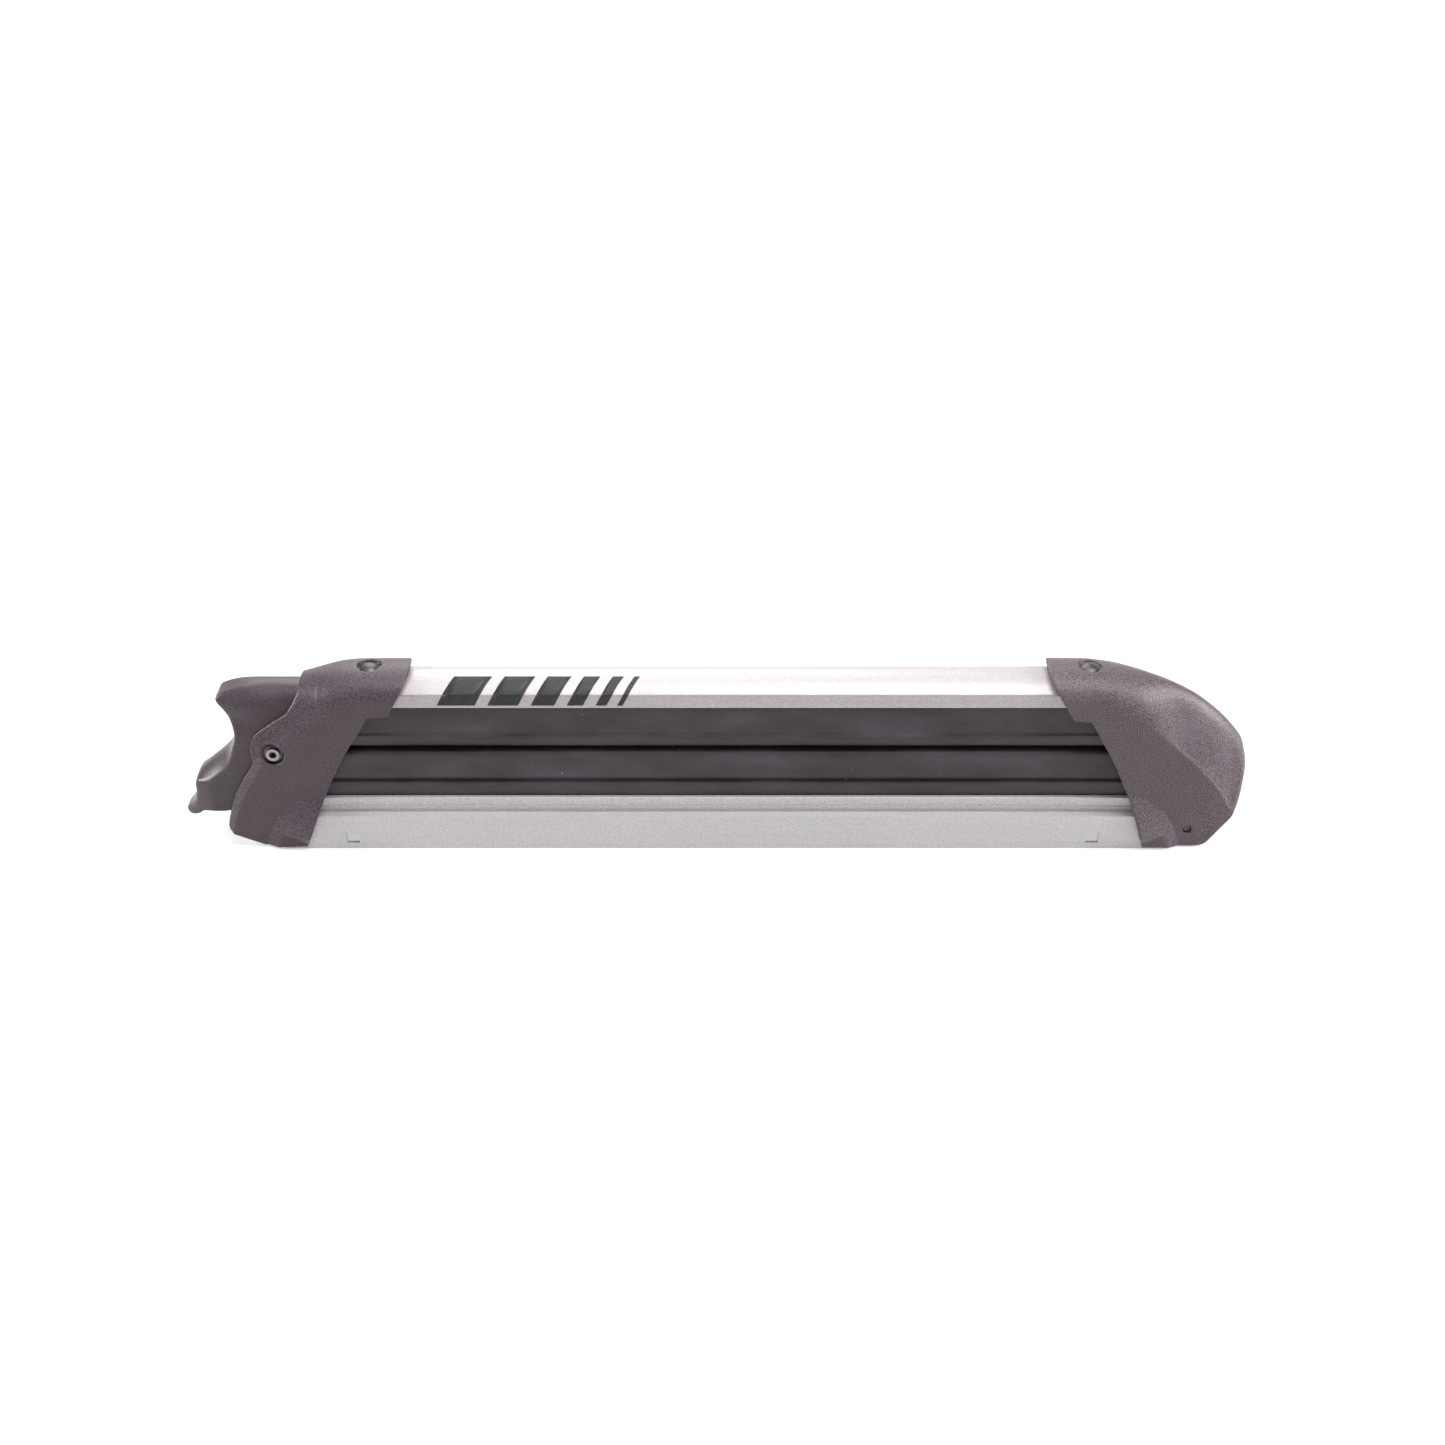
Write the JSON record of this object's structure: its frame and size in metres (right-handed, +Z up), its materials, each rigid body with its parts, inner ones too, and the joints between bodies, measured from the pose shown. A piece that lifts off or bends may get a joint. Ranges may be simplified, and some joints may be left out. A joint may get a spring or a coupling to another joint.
{
  "type": "roof ski rack",
  "caption": "Clamping ski and snowboard carrier: a padded arm hinged to a padded base rail, with end caps and a sprung release lever that hooks it shut",
  "frame": {"origin": "under the middle of the closed carrier's outline, on the plane of the base rail's lower edges", "axes": "+X along the bar to the hinge end, -X to the latch end and its release lever, +Y across the bar, +Z up"},
  "size_m": [0.6068, 0.0584, 0.1101],
  "materials": {
    "anodised_aluminium": "satin silver anodised extrusion with fine grain",
    "rubber_black": "soft black rubber, slightly dusty",
    "cap_plastic": "dark grey moulded plastic with fine spark texture",
    "lever_plastic": "dark grey moulded plastic, smoother and a little glossier",
    "block_plastic": "black glass-filled plastic",
    "zinc_steel": "bright zinc-plated steel",
    "black_steel": "black-oxide steel, slightly glossy",
    "brass": "turned brass insert",
    "spring_steel": "oiled spring wire",
    "nylon": "natural nylon bush"
  },
  "bodies": {
    "base": {"base_rail": "anodised_aluminium", "lower_pad": "rubber_black", "hinge_block": "block_plastic", "hinge_bush": "nylon", "hinge_pin": "zinc_steel", "hinge_block_screws": "zinc_steel", "strike_block": "block_plastic", "strike_pin": "zinc_steel", "strike_block_screws": "zinc_steel"},
    "arm": {"arm_rail": "anodised_aluminium", "upper_pad": "rubber_black", "latch_cap": "cap_plastic", "hinge_cap": "cap_plastic", "cap_rivets": "black_steel", "cap_rivet_bushes": "brass", "lever_pivot_screw": "zinc_steel", "lever_pivot_washers": "black_steel", "lever_pivot_nut": "zinc_steel"},
    "lever": {"release_lever": "lever_plastic", "latch_hook": "zinc_steel", "hook_rivets": "zinc_steel", "lever_bush": "brass", "lever_spring": "spring_steel"}
  },
  "joints": [
    {"name": "arm_hinge", "type": "hinge", "parent": "base", "child": "arm", "pos_m": [0.27045, 0, 0.0117], "axis": [0, 1, 0], "range_deg": [0, 95]},
    {"name": "lever_press", "type": "hinge", "parent": "arm", "child": "lever", "pos_m": [-0.24645, 0, 0.0612], "axis": [0, -1, 0], "range_deg": [0, 10], "stiffness_Nm_per_rad": 0.6, "springref_deg": -11.46}
  ]
}
